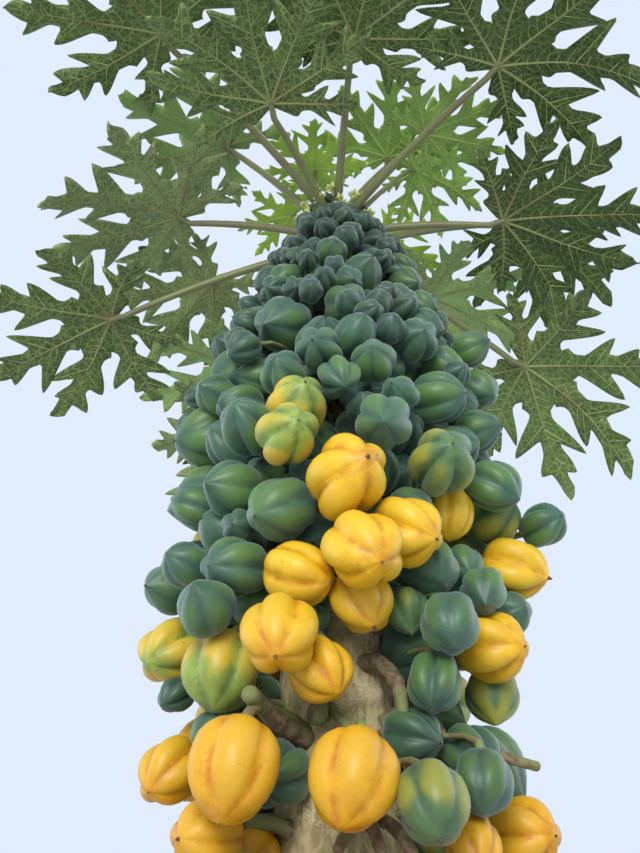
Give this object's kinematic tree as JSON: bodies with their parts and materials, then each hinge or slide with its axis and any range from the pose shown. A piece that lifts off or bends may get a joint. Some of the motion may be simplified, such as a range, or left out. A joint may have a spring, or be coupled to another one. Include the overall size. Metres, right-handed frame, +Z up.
{
  "type": "potted mountain papaya",
  "caption": "Mountain papaya in a plain clay pot: straight trunk, crown of deeply lobed leaves on long stalks, dense column of five-ribbed green to yellow fruit.",
  "frame": {"origin": "middle of the pot's flat underside", "axes": "+Z up along the trunk, -Y toward the front that the picture shows, +X to the viewer's right"},
  "size_m": [1.2184, 1.2318, 2.7086],
  "materials": {
    "clay": "fired clay, matt, unglazed",
    "soil": "dark potting soil, crumbly",
    "bark": "grey-brown bark with leaf scars and lichen",
    "leaf": "dark green blade with pale veins",
    "young_leaf": "bright yellow-green blade",
    "woody_stalk": "dry woody stalk",
    "green_fruit": "blue-green waxy bloom",
    "ripe_fruit": "yellow to orange, smooth skin"
  },
  "bodies": {
    "root": {"pot": "clay", "soil": "soil", "trunk": "bark", "leaf_front": "leaf", "leaf_front_left": "leaf", "leaf_left_high": "leaf", "leaf_left_inner": "leaf", "leaf_left": "leaf", "leaf_left_low": "leaf", "leaf_left_back": "leaf", "leaf_front_right": "leaf", "leaf_right": "leaf", "leaf_right_high": "leaf", "leaf_right_low": "leaf", "leaf_right_back": "leaf", "leaf_back_right": "leaf", "leaf_back": "leaf", "leaf_back_left": "leaf", "leaf_back_low": "leaf", "leaf_hanging_left": "leaf", "young_leaf_right": "young_leaf", "young_leaf_outer": "young_leaf", "young_leaf_low": "young_leaf", "young_leaf_back": "young_leaf", "young_leaf_left": "young_leaf", "young_leaf_centre": "young_leaf", "young_leaf_inner": "young_leaf", "old_stalk_left": "woody_stalk", "old_stalk_right": "woody_stalk", "old_stalk_low": "woody_stalk", "fruit_bunch_01": "green_fruit", "fruit_bunch_02": "green_fruit", "fruit_bunch_03": "green_fruit", "fruit_bunch_04": "green_fruit", "fruit_bunch_05": "green_fruit", "fruit_bunch_06": "green_fruit", "fruit_bunch_07": "green_fruit", "fruit_bunch_08": "green_fruit", "fruit_bunch_09": "green_fruit", "fruit_bunch_10": "green_fruit", "fruit_bunch_11": "green_fruit", "fruit_bunch_12": "green_fruit", "fruit_bunch_13": "green_fruit", "fruit_bunch_14": "green_fruit", "fruit_bunch_15": "green_fruit", "fruit_bunch_16": "green_fruit", "fruit_bunch_17": "green_fruit", "fruit_bunch_18": "green_fruit", "fruit_bunch_19": "green_fruit", "fruit_bunch_20": "ripe_fruit", "fruit_bunch_21": "ripe_fruit", "fruit_bunch_22": "ripe_fruit", "fruit_bunch_23": "ripe_fruit", "fruit_bunch_24": "ripe_fruit", "fruit_bunch_25": "ripe_fruit", "fruit_bunch_26": "ripe_fruit", "fruit_bunch_27": "ripe_fruit", "fruit_bunch_28": "ripe_fruit"}
  },
  "joints": []
}
